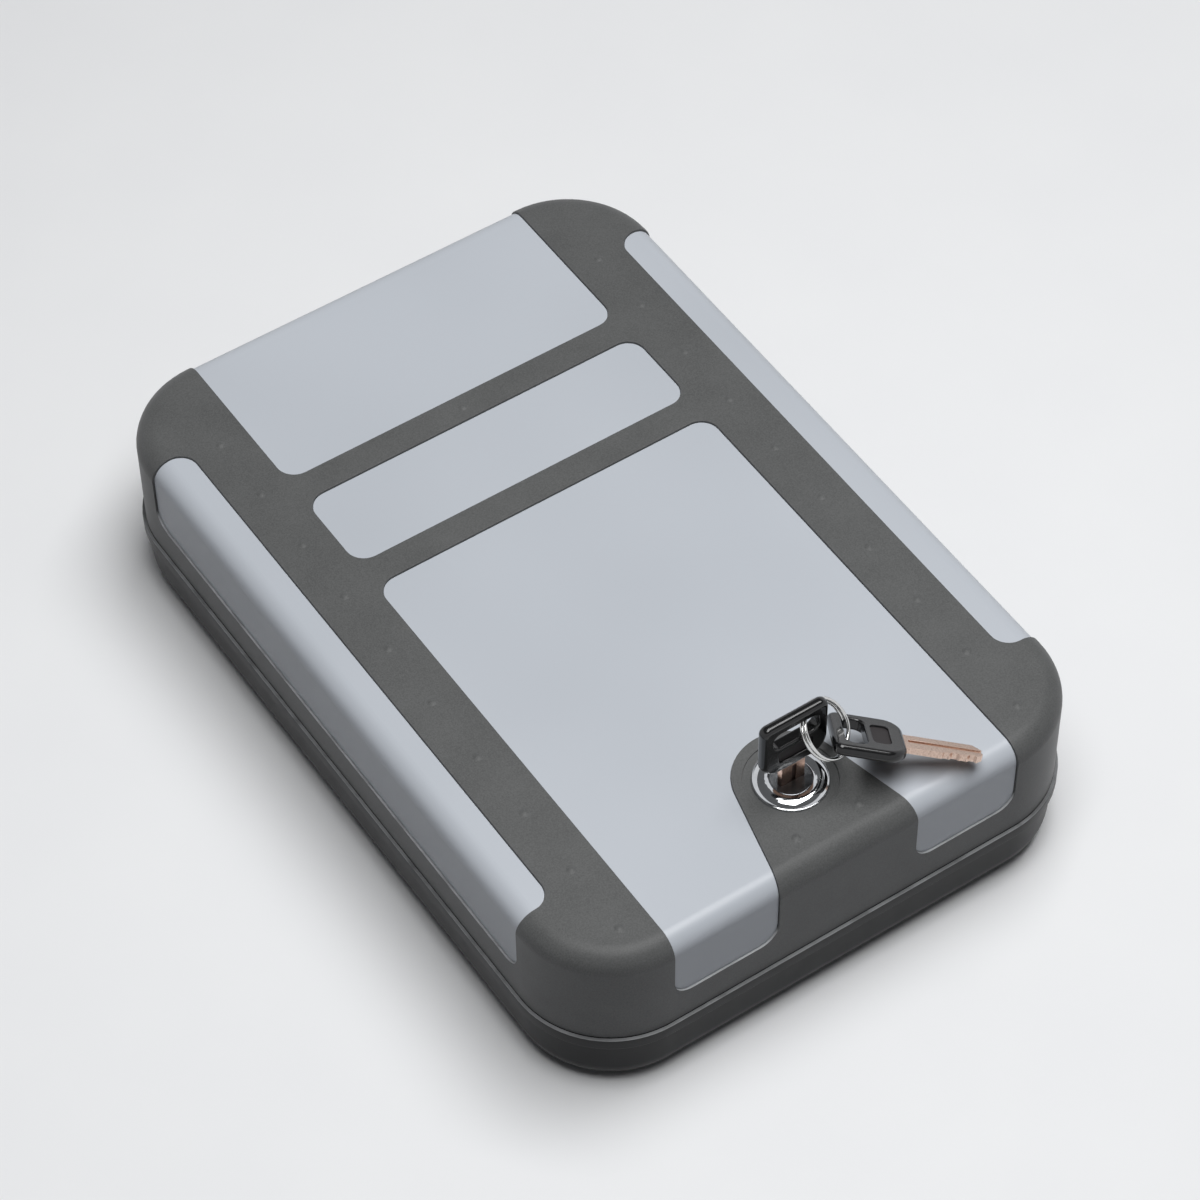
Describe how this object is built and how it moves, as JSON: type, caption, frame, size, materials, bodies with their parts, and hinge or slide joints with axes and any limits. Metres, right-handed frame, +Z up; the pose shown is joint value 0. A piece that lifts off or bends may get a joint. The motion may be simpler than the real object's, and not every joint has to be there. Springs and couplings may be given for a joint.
{
  "type": "keyed lock box",
  "caption": "Low rounded lock box with a hinged lid, a keyed cam lock at the front of the lid, a key in the lock and a spare key on its ring.",
  "frame": {"origin": "middle of the closed box's footprint, on the surface that the rubber feet stand on", "axes": "+Z up; -Y is the front, where the lock is, and the hinges are at +Y; +X is to the right seen from the front"},
  "size_m": [0.18, 0.2682, 0.0894],
  "materials": {
    "tub_plastic": "black, low gloss",
    "panel_plastic": "pale blue-grey, satin",
    "frame_plastic": "dark grey, fine matt texture",
    "foam": "dark grey open-cell foam",
    "rubber": "matt black",
    "zinc_steel": "zinc plated",
    "pin_steel": "bright drawn steel",
    "chrome": "polished chrome plating",
    "brass": "stamped brass",
    "key_brass": "coppery brass, milled",
    "bow_plastic": "black, glossy"
  },
  "bodies": {
    "base": {"base_tub": "tub_plastic", "base_liner": "foam", "rubber_feet": "rubber", "strike_plate": "zinc_steel", "strike_screws": "zinc_steel", "hinge_pins": "pin_steel"},
    "lid": {"lid_shell": "panel_plastic", "lid_frame": "frame_plastic", "lid_liner": "foam", "lock_housing": "chrome", "lock_washer": "zinc_steel", "lock_nut": "zinc_steel"},
    "plug": {"lock_plug": "chrome", "wafers": "brass", "wafer_springs": "pin_steel", "latch_cam": "zinc_steel", "cam_washer": "zinc_steel", "cam_screw": "zinc_steel"},
    "key": {"key_blade": "key_brass", "key_bow": "bow_plastic"},
    "ring": {"key_ring": "pin_steel"},
    "spare_key": {"spare_blade": "key_brass", "spare_bow": "bow_plastic"}
  },
  "joints": [
    {"name": "lid_hinge", "type": "hinge", "parent": "base", "child": "lid", "pos_m": [0, 0.1305, 0.024], "axis": [-1, 0, 0], "range_deg": [0, 105]},
    {"name": "lock_turn", "type": "hinge", "parent": "lid", "child": "plug", "pos_m": [0, -0.105, 0.06], "axis": [0, 0, -1], "range_deg": [0, 90]},
    {"name": "key_withdraw", "type": "slide", "parent": "plug", "child": "key", "axis": [0, 0, 1], "range_m": [0, 0.02]},
    {"name": "ring_swing", "type": "hinge", "parent": "key", "child": "ring", "pos_m": [0.0034, -0.105, 0.0827], "axis": [0, -1, 0], "range_deg": [0, 25]},
    {"name": "spare_swing", "type": "hinge", "parent": "ring", "child": "spare_key", "pos_m": [0.0162, -0.1088, 0.072], "axis": [-0.5878, -0.809, 0], "range_deg": [0, 15]}
  ]
}
